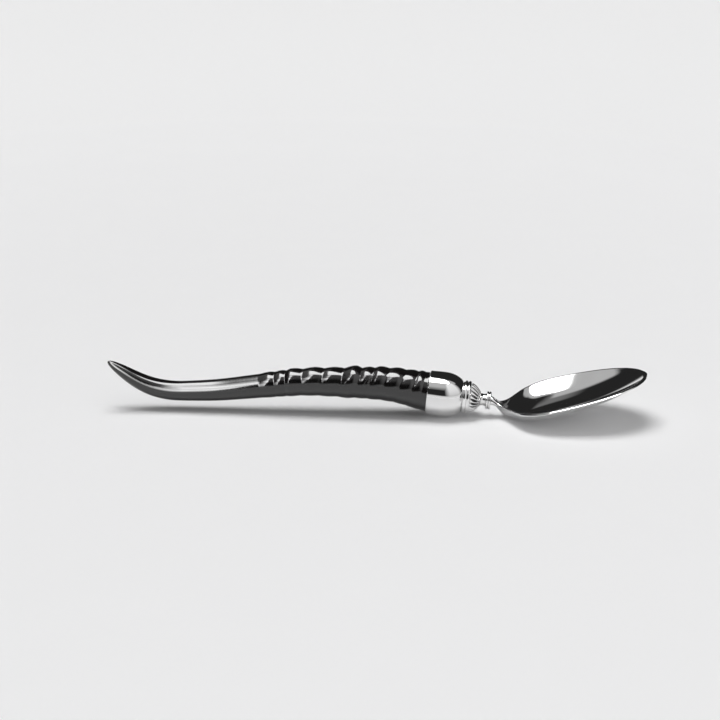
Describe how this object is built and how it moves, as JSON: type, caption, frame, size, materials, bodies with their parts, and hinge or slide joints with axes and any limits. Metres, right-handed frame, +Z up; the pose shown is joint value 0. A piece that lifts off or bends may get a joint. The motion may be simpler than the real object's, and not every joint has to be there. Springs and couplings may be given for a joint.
{
  "type": "coffee spoon",
  "caption": "Coffee spoon with a curved, ridged black horn handle, a polished metal ferrule and collar, a swirl-fluted bell, a coved spool and a deep oval bowl.",
  "frame": {"origin": "on the table, under the middle of the spoon's box at rest", "axes": "+X along the spoon towards the tip of the bowl, +Z up, XZ is the spoon's middle plane"},
  "size_m": [0.1812, 0.034, 0.017],
  "materials": {
    "horn": "polished black horn, with soft growth lines",
    "silver": "mirror polished silver-coloured metal"
  },
  "bodies": {
    "root": {"horn_handle": "horn", "ferrule": "silver", "collar_ring": "silver", "fluted_bell": "silver", "neck_spool": "silver", "spoon_bowl": "silver"}
  },
  "joints": []
}
